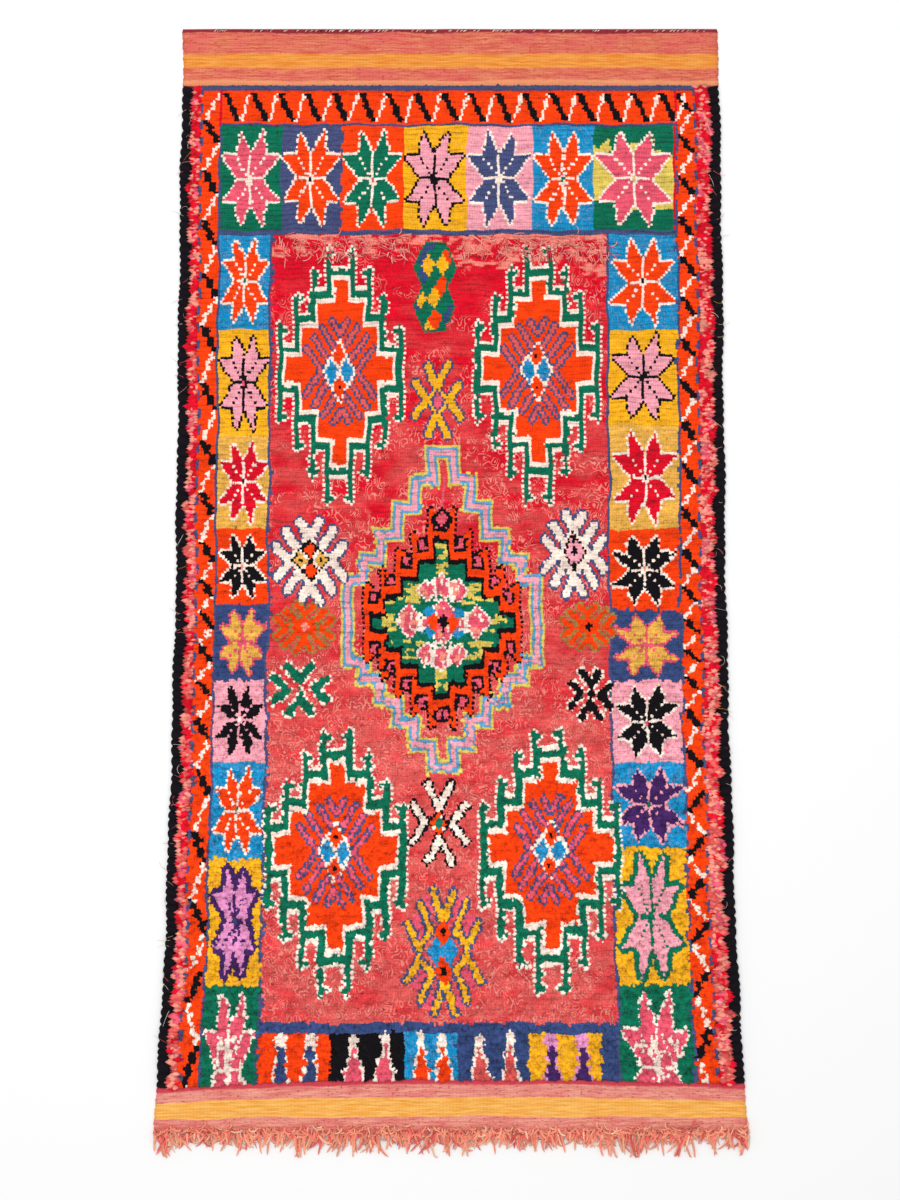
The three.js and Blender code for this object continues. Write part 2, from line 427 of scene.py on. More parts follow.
# Four hooked medallions: steps as half width, reach up and reach down. Each end has its steps, how far its
# upper and lower hooks rise, the band's knots across and along, the feathers' yarn and two middles
HEAD_STEPS = ((2.0, 26.3, 26.7), (6.7, 20.3, 19.2), (11.4, 12.9, 11.3), (16.5, 4.1, 3.1))
FOOT_STEPS = ((2.2, 24.4, 27.6), (7.7, 18.8, 20.2), (12.8, 10.9, 12.3), (17.8, 4.2, 3.6))
MEDALLIONS = (
    (HEAD_STEPS, (5.4, 7.2), 3.3, 4.8, "coral", ((46.6, 84.3), (106.3, 84.0))),
    (FOOT_STEPS, (4.5, 7.6), 3.7, 5.2, "rose", ((46.5, 221.0), (109.0, 220.5))),
)


def medallion(col, row, steps, rises, band_wide, band_tall, feathers):
    """A hooked lozenge round a feathered figure, with two blue eyes in a small lozenge at its heart."""
    hooked(col, row, steps, ("orange", "cream", "green"), rises, band_wide * KNOT, band_tall * KNOT)
    figure(col, row, 10.8, 15.0, FEATHERY, 1.1, feathers, "slate", True, 0.5)
    lay(diamond(col, row, 5.2, 9.4) & BEADED, "cream", True)
    lay(diamond(col, row, 4.4, 8.2), "orange")
    for side in (-2.3, 2.3):
        lay(diamond(col + side, row, 3.0, 4.8), "cream", True)
        lay(diamond(col + side, row, 2.2, 3.8), "blue")
        lay(diamond(col, row + 2 * side, 0.6, 0.8), "black")


for *form, middles in MEDALLIONS:
    for middle in middles:
        medallion(*middle, *form)

# Central medallion: nested stepped bands, then a hooked lozenge round a green heart
MIDDLE, LEVEL, OUTER_LEVEL = 77.5, 156.4, 152.4
OUTER_STEPS = (
    (5.2, 47.0, 47.1), (10.1, 38.6, 40.8), (15.4, 30.9, 34.2),
    (20.8, 23.3, 28.5), (25.7, 16.1, 22.6), (30.5, 10.1, 17.1),
)
depth = 0.0
for yarn, knots in (("khaki", 1), ("sky", 1), ("pink", 2), ("sky", 1), ("khaki", 1), ("coral", 1)):
    lay(stepped(MIDDLE, OUTER_LEVEL, OUTER_STEPS, -depth, -depth), yarn)
    depth += knots * KNOT
inner = stepped(MIDDLE, OUTER_LEVEL, OUTER_STEPS, KNOT - depth, KNOT - depth)
chart[inner] = field[inner]
HEART_STEPS = ((2.0, 22.6, 20.8), (7.0, 16.7, 16.8), (11.8, 11.6, 12.0), (16.4, 6.2, 6.9), (21.2, 1.2, 1.8))
hooked(MIDDLE, LEVEL, HEART_STEPS, ("green", "black", "orange"), (4.8, 4.8), 3 * KNOT, 5 * KNOT, "rose")
heart = stepped(MIDDLE, LEVEL, HEART_STEPS)
# An ordinary flower in the heart, the same in each quarter: khaki leaves by their sides, top and bottom
aside, down = abs(COL - MIDDLE), abs(ROW - LEVEL)
for near, far, top, bottom in ((5.5, 16.5, 5.4, 10.6), (12.0, 18.5, 0, 2.4), (0, 1.6, 13.6, 22.5)):
    leaf = (aside > near) & (aside < far) & (down > top) & (down < bottom)
    lay(heart & leaf & (drift(2, 5) > 0.32), "khaki")
# Petals and centre bits: place aside and down, half width and height
petals = np.zeros(chart.shape, bool)
for petal in ((0, 0, 6.6, 6.4), (10.0, 0, 3.6, 4.8), (0, 10.4, 5.0, 3.2), (4.8, 9.0, 2.4, 3.0)):
    petals |= quarters(MIDDLE, LEVEL, *petal)
lay(edged(petals) & heart, "cream")
lay(petals, "rose")
lay(petals & (drift(3, 1) > 0.88), "cream")
lay(petals & (drift(3, 3) > 0.7), "salmon")
VEINS = ((6.8, 0, 6.8, 2.6), (2.4, 6.0, 2.4, 11.5))
lay(limbs(MIDDLE, LEVEL, 1, 1, VEINS, 1.0) & heart, "cream")
for *bit, yarn in ((4.4, 3.0, 2.2, 1.9, "blue"), (2.8, 0, 2.2, 2.6, "orange"), (0, 0, 1.7, 2.5, "black")):
    lay(quarters(MIDDLE, LEVEL, *bit), yarn)
lay(diamond(MIDDLE, LEVEL - 29.4, 3.6, 3.4), "black")
lay(diamond(MIDDLE, LEVEL - 29.4, 2.1, 2.0), "rose")
lay(stroke(COL - MIDDLE, ROW - LEVEL, (0, -41.0), (0, -33.4), 1.1), "rose")

# Figures in the field: middle, half width and height, limbs, limb thickness, yarns, closed outline and body
FIGURES = (
    (76.1, 92.6, 7.6, 11.0, VEES, 2.0, "yellow", "slate", True, 0.46),
    (37.9, 139.0, 10.3, 12.3, FLAKE, 2.5, "cream", "slate", True, 0.66),
    (117.1, 137.0, 9.4, 11.9, FLAKE, 2.4, "cream", "slate", True, 0.64),
    (36.1, 158.2, 8.6, 6.7, FLAKE, 1.6, "orange", "olive", True, 0.5),
    (120.8, 157.7, 7.6, 6.2, FLAKE, 1.5, "orange", "olive", True, 0.5),
    (35.6, 175.4, 8.6, 7.0, VEES, 2.2, "green", "cream", False, 0.1),
    (121.6, 177.0, 6.6, 7.0, VEES, 2.0, "black", "cream", False, 0.2),
    (76.7, 213.0, 8.8, 11.9, VEES, 1.7, "cream", "black", True, 0.3),
)
for place in FIGURES:
    figure(*place)
SPIDER = (77.9, 248.8, 11.2, 17.7)
lay(limbs(*SPIDER, SPIDER_KNEES, 3.0), "rose")
figure(*SPIDER, SPIDERY, 1.6, "yellow", "slate", True)
# Hearts of the figures, the same in each quarter: their middle, then place aside and down, half width and
# height and yarn of each lozenge
HEARTS = (
    (76.1, 92.6, ((0, 0, 2.4, 3.4, "slate"), (0, 0, 1.6, 2.4, "rose"))),
    (37.9, 138.6, (
        (0, 0, 5.7, 6.5, "black"), (0, 0, 5.0, 5.8, "cream"), (0, 3.1, 2.5, 2.9, "black"),
        (0, 3.1, 1.9, 2.3, "orange"), (3.0, 0, 2.0, 2.4, "tan"), (3.0, 0, 0.6, 0.8, "black"),
        (0, 0, 0.8, 1.0, "black"),
    )),
    (117.0, 136.4, (
        (0, 0, 3.7, 6.0, "black"), (0, 0, 3.0, 5.2, "pink"), (0, 0, 1.2, 1.6, "black"),
        (0, 3.6, 0.9, 1.2, "black"),
    )),
    (36.1, 158.2, ((0, 0, 1.6, 1.6, "salmon"),)),
    (120.8, 157.7, ((0, 0, 1.5, 1.5, "black"),)),
    (76.7, 213.0, ((0, 0, 2.6, 3.4, "orange"), (0, 0, 1.4, 1.9, "green"))),
    (77.9, 249.0, ((0, 0, 4.4, 8.8, "blue"), (0, 5.4, 2.4, 4.1, "orange"), (0, 5.4, 0.9, 1.5, "black"))),
)
for col, row, lozenges in HEARTS:
    for *lozenge, yarn in lozenges:
        lay(quarters(col, row, *lozenge), yarn)

# A patched figure at the head of the field: two blunt lozenges quilted in slanting patches, yarns in turn
QUILT = ("yellow", "green", "navy", "yellow", "green", "orange", "green", "navy", "green")
QUILT_COL, QUILT_ROW, QUILT_WIDE, QUILT_TALL = 75.2, 59.5, 4.4, 6.4
lobe = abs(abs(ROW - QUILT_ROW) - 5.6)
quilt = (abs(COL - QUILT_COL) < 6.8 - 0.5 * lobe) & (lobe < 7.4)
across, down = (COL - QUILT_COL) / QUILT_WIDE, (ROW - QUILT_ROW) / QUILT_TALL
turn = (np.floor(down + across) + 4 * np.floor(down - across)) % len(QUILT)
lay(quilt, "green")
for place, yarn in enumerate(QUILT):
    lay(quilt & ~edged(~quilt) & (turn == place), yarn)

# Foot panels under a navy line: right-hand edge, ground, half width of the figures, their yarn and edge
lay(block(26, 128, 268.5, 271), "navy")
PANELS = (
    (46, "orange", 1.3, "navy", "cream"),
    (67, "black", 3.0, "rose", "cream"),
    (82, "blue", 2.7, "orange", "cream"),
    (102, "navy", 2.9, "coral", "cream"),
    (122.5, "yellow", 1.3, "purple", "mauve"),
    (127.2, "navy", 0, None, None),
)
left = 26
for right, ground, half, yarn, edge in PANELS:
    lay(block(left, right, 271, CHART_TALL), ground)
    if yarn:
        for share in (0.32, 0.74):
            triangle(left + share * (right - left), 271.6, half, yarn, edge)
    left = right


# Surfaces: every piece is a closed outline carried along a path and drawn to a point at both ends
def carried(rings, start, end, around=None):
    """Points, triangles and unwrapped corners of many closed tubes at once.

    Rings holds, for each tube, its stations and the points round each; start and end are the closing
    points. Point (station, k) joins (station, k + 1) and the same two of the next station. In the map each
    tube has a square cell of its own, with the place round it across the cell and the station up it.
    """
    tubes, stations, sides = rings.shape[:3]
    stride = stations * sides + 2
    points = np.concatenate([start[:, None], rings.reshape(tubes, -1, 3), end[:, None]], axis=1)
    here = np.arange(sides)
    beyond = (here + 1) % sides
    steps = np.arange(sides + 1) / sides if around is None else around
    left, right = steps[:-1], steps[1:]
    middle = (left + right) / 2
    level = np.arange(stations)[:, None]
    corner = 1 + level * sides + here
    corner_on = 1 + level * sides + beyond
    tall = np.broadcast_to((level + 1) / (stations + 1), corner.shape)
    left_all = np.broadcast_to(left, corner.shape)
    right_all = np.broadcast_to(right, corner.shape)

    def side(*places):
        return np.stack([np.broadcast_to(place, corner[:-1].shape).ravel() for place in places], axis=1)

    def cap(*places):
        return np.stack([np.broadcast_to(place, here.shape) for place in places], axis=1)

    low, low_on, top, top_on = corner[:-1], corner_on[:-1], corner[1:], corner_on[1:]
    faces = np.concatenate([
        side(low, low_on, top_on), side(low, top_on, top),
        cap(0, corner_on[0], corner[0]), cap(corner[-1], corner_on[-1], stride - 1),
    ])
    across = np.concatenate([
        side(left_all[:-1], right_all[:-1], right_all[:-1]),
        side(left_all[:-1], right_all[:-1], left_all[:-1]),
        cap(middle, right, left), cap(left, right, middle),
    ])
    up = np.concatenate([
        side(tall[:-1], tall[:-1], tall[1:]), side(tall[:-1], tall[1:], tall[1:]),
        cap(0, tall[0], tall[0]), cap(tall[-1], tall[-1], 1),
    ])
    tube = np.arange(tubes)
    cells = math.ceil(math.sqrt(tubes))
    margin = 0.04 if tubes > 1 else 0.005
    u = (tube[:, None, None] % cells + margin + (1 - 2 * margin) * across) / cells
    v = (tube[:, None, None] // cells + margin + (1 - 2 * margin) * up) / cells
    triangles = faces + tube[:, None, None] * stride
    return points.reshape(-1, 3), triangles.reshape(-1, 3), np.stack([u, v], axis=-1).reshape(-1, 2)


def add_piece(name, surface, finish, slot, dye_and_painted_light=None, **marks):
    """Puts a carried surface into a mesh with its map, its colour at each point and any other marks."""
    points, triangles, corners = surface
    mesh = bpy.data.meshes.new(name)
    mesh.vertices.add(len(points))
    mesh.vertices.foreach_set("co", points.ravel())
    mesh.loops.add(triangles.size)
    mesh.loops.foreach_set("vertex_index", triangles.ravel().astype(np.int32))
    mesh.polygons.add(len(triangles))
    mesh.polygons.foreach_set("loop_start", np.arange(0, triangles.size, 3, dtype=np.int32))
    mesh.polygons.foreach_set("use_smooth", np.ones(len(triangles), bool))
    mesh.uv_layers.new(name="OFBake").data.foreach_set("uv", corners.ravel())
    if dye_and_painted_light is not None:
        colour = np.concatenate([dye_and_painted_light.reshape(-1, 3), np.ones((len(points), 1))], axis=1)
        mesh.attributes.new("dye_and_painted_light", "FLOAT_COLOR", "POINT").data.foreach_set("color", colour.ravel())
    for mark, values in marks.items():
        mesh.attributes.new(mark, "FLOAT", "POINT").data.foreach_set("value", np.ravel(values))
    mesh.update(calc_edges=True)
    mesh.materials.append(finish)
    piece = bpy.data.objects.new(name, mesh)
    bpy.context.scene.collection.objects.link(piece)
    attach(piece, "root")
    return piece


# Finishes
class Value:
    """A node's output that can be added, taken away and multiplied as a number."""

    def __init__(self, wool, socket):
        self.wool = wool
        self.socket = socket

    def sum_of(self, operation, first, second):
        return self.wool.node("ShaderNodeMath", {"operation": operation}, {0: first, 1: second})

    def __add__(self, other):
        return self.sum_of("ADD", self, other)

    def __sub__(self, other):
        return self.sum_of("SUBTRACT", self, other)

    def __rsub__(self, other):
        return self.sum_of("SUBTRACT", other, self)

    def __mul__(self, other):
        return self.sum_of("MULTIPLY", self, other)

    __radd__ = __add__
    __rmul__ = __mul__


class Wool:
    """One material and the nodes that colour it."""

    def __init__(self, name, roughness, sheen=0.0, specular=0.1):
        self.material = bpy.data.materials.new(name)
        self.material.use_nodes = True
        self.tree = self.material.node_tree
        self.shader = self.tree.nodes["Principled BSDF"]
        self.shader.inputs["Roughness"].default_value = roughness
        self.shader.inputs["Specular IOR Level"].default_value = specular
        self.shader.inputs["Sheen Weight"].default_value = sheen
        self.shader.inputs["Sheen Roughness"].default_value = 0.6

    def node(self, kind, settings, inputs, output=0):
        """Adds a node: its settings first, then the values or links of its sockets."""
        node = self.tree.nodes.new(kind)
        for name, value in settings.items():
            setattr(node, name, value)
        for name, value in inputs.items():
            if isinstance(value, Value):
                self.tree.links.new(value.socket, node.inputs[name])
            else:
                node.inputs[name].default_value = value
        return Value(self, node.outputs[output])

    def feed(self, name, value):
        self.tree.links.new(value.socket, self.shader.inputs[name])

    def mark(self, name):
        return self.node("ShaderNodeAttribute", {"attribute_name": name}, {}, "Fac")

    def dye_and_painted_light(self):
        return self.node("ShaderNodeAttribute", {"attribute_name": "dye_and_painted_light"}, {}, "Color")

    def place(self, stretch):
        """Object coordinates in millimetres times a stretch along each axis."""
        where = self.node("ShaderNodeTexCoord", {}, {}, "Object")
        scale = tuple(share / MM for share in stretch)
        return self.node("ShaderNodeVectorMath", {"operation": "MULTIPLY"}, {0: where, 1: scale})

    def only(self, operation, value):
        """A sum of one value, such as its sine or its size without a sign."""
        return self.node("ShaderNodeMath", {"operation": operation}, {0: value})

    def noise(self, where, scale, detail=2.0):
        return self.node("ShaderNodeTexNoise", {}, {"Vector": where, "Scale": scale, "Detail": detail})

    def mix(self, share, first, second, blend="MIX"):
        settings = {"data_type": "RGBA", "blend_type": blend}
        return self.node("ShaderNodeMix", settings, {0: share, 6: first, 7: second}, 2)

    def step(self, value, low, high):
        """0 below low, 1 above high and a smooth slope between."""
        settings = {"interpolation_type": "SMOOTHSTEP"}
        return self.node("ShaderNodeMapRange", settings, {0: value, 1: low, 2: high})

    def bump(self, height, strength, distance):
        inputs = {"Strength": strength, "Distance": distance * MM, "Height": height}
        self.feed("Normal", self.node("ShaderNodeBump", {}, inputs))


def paint(code):
    return (*linear(code), 1.0)


def crossing(wool, noise, level, slim, wide):
    """1 on the lines where a noise crosses a level, fading to 0 beside them."""
    return 1 - wool.step(wool.only("ABSOLUTE", noise - level), slim, wide)


def curly_tips(wool):
    """Curling strands that run side by side: the level lines of a slow noise, broken up by a finer one."""
    swirl = wool.noise(wool.place((0.04, 0.03, 0)), 1.0, 1.0)
    lines = wool.only("SINE", swirl * 56)
    runs = wool.step(wool.noise(wool.place((0.05, 0.045, 0)), 1.0, 1.0), 0.38, 0.54)
    return wool.step(lines, 0.25, 0.9) * runs


def spun_wool(name, roughness, sheen, grain, strength, strands=None):
    """Dyed wool: the colour given at each point, a little mottled, with fine fibres standing in the bump.

    Pile also has streaks, painted shade along long wavy creases by its rows, deepest towards the head, and
    paler curling tips where it is worn.
    """
    wool = Wool(name, roughness, sheen)
    mottle = wool.noise(wool.place((1, 1, 1)), 0.22)
    shade = wool.step(mottle, 0.3, 0.7) * 0.18 + 0.91
    if strands:
        streak = wool.step(wool.noise(wool.place((0.02, 0.1, 0)), 1.0, 2.0), 0.3, 0.7)
        # Painted shade: thin dark wavy lines where the rows part, darker towards the head.
        painted_crease_shade = crossing(wool, wool.noise(wool.place((0.011, 0.085, 0)), 1.0, 1.0), 0.5, 0.008, 0.035)
        along = wool.node("ShaderNodeSeparateXYZ", {}, {0: wool.place((1, 1, 1))}, 1)
        near_head = wool.step(along, -700, 300)
        shade = shade * (streak * 0.2 + 0.92) * (1 - painted_crease_shade * (near_head * 0.16 + 0.03))
    colour = wool.mix(1.0, wool.dye_and_painted_light(), shade, "MULTIPLY")
    if strands:
        colour = wool.mix(curly_tips(wool) * wool.mark("worn"), colour, paint(strands))
    wool.feed("Base Color", colour)
    wool.bump(wool.noise(wool.place((1, 0.35, 0.5)), grain, 3.0), strength, 1.2)
    return wool.material


def flat_weave():
    """The woven ends: stripes by the place along, a little wavy, with fine weft streaks, dark dashes and
    painted shade along thin creases; under the pile, a dark maroon as painted shade.
    """
    wool = Wool("flat_woven_wool", 0.92, 0.04)
    along, across = wool.mark("along"), wool.mark("across")
    slow = wool.noise(wool.place((0.006, 0.02, 0)), 1.0, 1.0)
    wavy = along + (slow - 0.5) * 12 + (wool.noise(wool.place((0.06, 0.06, 0)), 1.0) - 0.5) * 6

    def wefts(wide, tall, detail):
        where = wool.node("ShaderNodeCombineXYZ", {}, {"X": across * wide, "Y": wavy * tall})
        return wool.noise(where, 1.0, detail)

    streak = wool.step(wefts(0.016, 0.24, 3.0), 0.32, 0.68)
    fine = wefts(0.03, 0.55, 2.0)
    dash = wool.step(wefts(0.1, 0.34, 0.0), 0.66, 0.74)
    worn = wool.step(wool.noise(wool.place((0.012, 0.02, 0)), 1.0, 2.0), 0.45, 0.65)
    head = wool.step(along, LENGTH / 2 - 50, LENGTH / 2 + 50)
    foot_rose = wool.mix(streak, paint("#E47F76"), paint("#F6A793"))
    head_rose = wool.mix(streak, paint("#D25A4A"), paint("#E38665"))
    rose = wool.mix(head, foot_rose, head_rose)
    rose = wool.mix(worn * 0.35, rose, paint("#DE5660"))
    rose = wool.mix(dash * 0.6, rose, paint("#B4303E"))
    foot_gold = wool.mix(streak, paint("#F7A442"), paint("#FFC46A"))
    head_gold = wool.mix(streak, paint("#E4822E"), paint("#F0A24E"))
    gold = wool.mix(head, foot_gold, head_gold)
    colour = rose
    bands = (
        (93, 137, gold, 2.5, 1.0), (2602, 2637, gold, 2.5, 1.0), (2690, 2720, paint("#8E2C36"), 2.5, 1.0),
        (166, 190, paint("#DC4858"), 2.5, 1.0), (2558, 2572, paint("#F2A070"), 3.0, 0.75),
    )
    for low, high, tint, soft, most in bands:
        inside = wool.step(wavy, low - soft, low + soft) * (1 - wool.step(wavy, high - soft, high + soft))
        colour = wool.mix(inside * most, colour, tint)
    # Under the pile the ground is painted dark maroon: painted shade for the gaps between tufts.
    past_foot = wool.step(along, PILE_FOOT - 3, PILE_FOOT + 3)
    inside = past_foot * (1 - wool.step(along, PILE_HEAD - 3, PILE_HEAD + 3))
    colour = wool.mix(inside, colour, paint("#8A2A34"))
    warp, weft = wool.only("SINE", across * 0.8), wool.only("SINE", wavy * 0.62)
    # Painted shade along long thin creases across the woven ends.
    painted_crease_shade = wool.only("ABSOLUTE", wool.noise(wool.place((0.006, 0.12, 0)), 1.0, 2.0) - 0.5)
    shade = (wool.step(fine, 0.3, 0.7) * 0.16 + 0.88) * (wool.step(painted_crease_shade, 0.0, 0.02) * 0.1 + 0.9)
    shade = shade * (1 + warp * 0.025) * (1 + weft * 0.035)
    wool.feed("Base Color", wool.mix(1.0, colour, shade, "MULTIPLY"))
    wool.bump(fine * 1.2 + warp * 0.1 + weft * 0.3 - dash * 0.5, 0.6, 1.2)
    return wool.material


pile_wool = spun_wool("knotted_wool", 0.95, 0.03, 0.45, 0.6, "#F09E90")
cord_wool = spun_wool("black_overcast_wool", 0.92, 0.02, 0.8, 0.5)
warp_wool = spun_wool("warp_end_wool", 0.95, 0.05, 1.1, 0.3)
weave_wool = flat_weave()

# Woven ground: one thin sheet under the pile that shows as the two flat-woven ends
GROUND_COLUMNS, GROUND_STEP, PILE_STATIONS = 100, 4, 60
UNDERSIDE = 0.3
foot_stations = np.arange(FRINGE_LENGTH, PILE_FOOT, GROUND_STEP)
head_stations = np.arange(LENGTH, PILE_HEAD, -GROUND_STEP)[::-1]
stations = np.concatenate([foot_stations, np.linspace(PILE_FOOT, PILE_HEAD, PILE_STATIONS), head_stations])
across = np.linspace(-1, 1, GROUND_COLUMNS)


def ground_sheet():
    """A flat slab: its outline runs across the top and back below, carried from foot to head.

    The top rolls gently at the ends, swells at the head hem and lies flat under the pile, where the sheet is
    a little narrower.
    """
    along = stations[:, None]
    middle = (outer_edge(along, -1) + outer_edge(along, 1)) / 2
    wide = (outer_edge(along, 1) - outer_edge(along, -1)) / 2
    ragged = 1.5 * np.sin(along / 7.3) * np.sin(along / 2.9 + 1)
    in_pile = np.clip(np.minimum(along - PILE_FOOT, PILE_HEAD - along) / 12, 0, 1)
    x = middle + across * (wide - 22 * in_pile + ragged * (1 - in_pile))
    roll = 0.5 * np.sin(x / 31 + along / 47) + 0.4 * np.sin(x / 83 - along / 29)
    hem = 1.6 * np.exp(-((along - LENGTH + 5) / 4) ** 2)
    top = on_rug(x, along, WEAVE_THICK - 0.9 + roll * (1 - in_pile) + hem)
    under = on_rug(x, along, np.full_like(x, UNDERSIDE))
    rings = np.concatenate([top, under[:, ::-1]], axis=1)[None]
    ends = rings.mean(axis=2)
    top_map, under_map = np.linspace(0, 0.86, GROUND_COLUMNS), np.linspace(0.88, 0.99, GROUND_COLUMNS)
    width_map = np.concatenate([top_map, under_map, [1]])
    return carried(rings, ends[:, 0], ends[:, -1], width_map), x


def with_ends(values):
    """A value for each ring point, and the first and last ring's mean for the two closing points."""
    return np.concatenate([[values[0].mean()], values.ravel(), [values[-1].mean()]])


ground_surface, ground_x = ground_sheet()
ground_across = np.concatenate([ground_x, ground_x[:, ::-1]], axis=1)
ground_along = np.broadcast_to(stations[:, None], ground_across.shape)
ground = add_piece(
    "woven_ground", ground_surface, weave_wool, "rug_wool",
    along=with_ends(ground_along), across=with_ends(ground_across),
)
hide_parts("rug_body")

# Pile: one leaning tuft for each knot of the chart
TUFT_ROOT = 4.0
TUFT_RISE = 9.0
TUFT_LEAN = 3.6
TUFT_WAIST = 0.76
TUFT_SWELL = 0.86
TUFT_GATHER = 1.5
LOBE_ROWS, LOBE_COLUMNS = 2.8, 3.4
# Colour share at each ring of a tuft, root to tip: the root is painted dark as shade deep between the tufts,
# and the tip a little lighter, partly faded wool and partly a painted highlight.
TUFT_PAINTED_SHADING = np.array([0.7, 0.97, 0.97, 0.97, 0.97, 1.05])
CORNERS = np.arange(4) * np.pi / 2
tie = np.random.default_rng(7)


def smooth_line(count, spread):
    """Seeded noise along a line, smoothed over a spread and brought to a spread of 1."""
    window = np.hanning(spread + 2)
    line = np.convolve(tie.standard_normal(count + 2 * spread), window, "same")[spread:-spread]
    return line / line.std()


def knot_places():
    """Where each knot is tied: rows and columns spread over the pile, then pushed about by slow waves."""
    along = PILE_HEAD - KNOT_ROW / CHART_TALL * (PILE_HEAD - PILE_FOOT)
    left, right = outer_edge(along, -1) + PILE_INSET, outer_edge(along, 1) - PILE_INSET
    x = left + (right - left) * KNOT_COL / CHART_WIDE
    from_side = np.minimum(KNOT_COL, CHART_WIDE - KNOT_COL)
    from_end = np.minimum(KNOT_ROW, CHART_TALL - KNOT_ROW)
    inside = np.clip(from_side / 8, 0, 1) * np.clip(from_end / 8, 0, 1)
    x = x + inside * (2.2 * np.sin(along / 49 + 0.7) * np.cos(x / 67) + 1.3 * np.sin(along / 15.5 + x / 60))
    wave = 2.4 * np.sin(x / 41 + 1.1) * np.cos(along / 80) + 1.4 * np.sin(x / 13.2 + along / 130)
    return x, along + inside * wave


# Where the field is worn, so that its paler strands show
in_field = (chart == field) & tied_in("crimson", "coral") & block(26, 127.5, 44, 269)
patchy = np.clip(4 * drift(13, 21) - np.interp(ROW, (60, 190), (2.5, 0.5)), 0, 1)
worn = np.interp(ROW, (44, 50, 62, 90, 130, 170), (0.6, 0.4, 0.7, 0.8, 0.8, 0.7)) * patchy
bright = tied_in("yellow", "tan", "pink", "blue", "mauve", "salmon")
worn = np.where(in_field, np.maximum(worn, 0.5 * paleness), 0.12 * bright)


def knot_dyes():
    """The yarn colour of every knot: its yarn's, or in the field a fading blend of crimson, coral and
    salmon.
    """
    dyes = np.array([linear(code) for code in YARNS.values()])
    share, pale = fade[..., None], paleness[..., None]
    blend = dyes[CODE["crimson"]] * (1 - share) + dyes[CODE["coral"]] * share
    blend = blend * (1 - pale) + dyes[CODE["salmon"]] * pale
    return np.where(in_field[..., None], blend, dyes[chart])


def lobes():
    """Plump lobes, 0.5 in their middles and -0.5 between: bricked cells a few knots wide, pushed about."""
    rows = (WEFT + 4 * drift(7, 7)) / LOBE_ROWS
    level = np.floor(rows)
    columns = (WARP + 4 * drift(7, 7)) / LOBE_COLUMNS + 0.5 * level
    return 0.5 - 2 * ((columns - np.floor(columns) - 0.5) ** 2 + (rows - level - 0.5) ** 2)


def pile_tufts():
    """Waists, roots, tips and colour of every tuft: the yarn's, with painted shade at the root and on the
    lumps.

    A tuft rises from its knot and leans to the foot; its section is a soft square, widest at the waist. Tips
    of two rows draw together into a ridge, and near the foot tips draw up a slope of seeded noise into soft
    lumps. Tufts at the sides are combed outwards over the cords.
    """
    x, along = knot_places()
    shape = chart.shape
    coarse = np.interp(ROW, (0, 90, 200, CHART_TALL), (0.6, 0.8, 1.7, 2.0))
    outward = np.where(COL < CHART_WIDE / 2, -1, 1)
    plump = np.interp(ROW, (90, 220), (0, 4)) * np.where(in_field, 0.4, 1)
    lump = 2.0 * (drift(4, 5) - 0.5) * coarse * np.where(in_field, 0.7, 1) + lobes() * plump
    uphill_along, uphill_x = np.gradient(lump)
    ridge = np.where(WEFT % 2, -1, 1) * np.cos(2 * np.pi * drift(13, 41))
    ridge = ridge * np.interp(ROW, (0, 120, 220), (2.1, 1.6, 0.5))
    lean = TUFT_LEAN * (1 + 0.16 * smooth_line(ROWS, 3)[:, None]) + tie.normal(0, 0.5, shape) * coarse
    loose = ~frayed
    tip_x = x + tie.normal(0, 0.5, shape) * coarse + loose * TUFT_GATHER * uphill_x
    tip_along = along - lean - loose * (TUFT_GATHER * uphill_along + ridge)
    combed = np.clip(3 + 3 * smooth_line(2 * ROWS, 5), -2, 9).reshape(2, ROWS)
    combed = combed[(outward > 0).astype(int), WEFT] + tie.uniform(-2.5, 4.0, shape)
    tip_x = tip_x + frayed * outward * combed
    tip_along = tip_along + frayed * tie.normal(0, 2.2, shape)
    rise = TUFT_RISE + 0.2 * coarse * tie.standard_normal(shape) + 0.8 * lump
    rise = np.clip(rise + 0.2 * raised - 2.5 * (tie.random(shape) < 0.006), 5.0, 12.3)
    size = TUFT_SWELL * math.sqrt(2) * np.exp(tie.normal(0, 0.10, shape))
    span = outer_edge(along, 1) - outer_edge(along, -1) - 2 * PILE_INSET
    wide = size * span / COLUMNS * (1 + 0.5 * frayed)
    deep = size * (PILE_HEAD - PILE_FOOT) / ROWS * (1 - 0.12 * frayed)
    angle = CORNERS + np.where(frayed, 0, tie.uniform(0, np.pi / 2, shape))[..., None]
    root = np.stack([x, along, np.full(shape, TUFT_ROOT)], axis=-1).reshape(-1, 1, 1, 3)
    tip = np.stack([tip_x, tip_along, TUFT_ROOT + rise], axis=-1).reshape(-1, 1, 1, 3)
    wide, deep = wide[..., None], deep[..., None]
    section = np.stack([wide * np.cos(angle), deep * np.sin(angle), 0 * angle], axis=-1)
    waist = root + TUFT_WAIST * (tip - root) + section.reshape(-1, 1, 4, 3)
    # Tone of each tuft: the slow abrash by row and the random tone are the yarn's own; the lump term is
    # painted shade, lighter on high lumps and darker in the hollows between them.
    abrash = 1 + 0.035 * smooth_line(ROWS, 9)[:, None]
    shade = abrash * np.exp(tie.normal(0, 0.045, shape) * (1 + 2 * frayed) + 0.08 * lump)
    dye_and_painted_light = np.clip(knot_dyes().reshape(-1, 1, 3) * shade.reshape(-1, 1, 1) * TUFT_PAINTED_SHADING[:, None], 0, 1)
    return [on_rug(*np.moveaxis(part, -1, 0)) for part in (waist, root[:, 0, 0], tip[:, 0, 0])], dye_and_painted_light


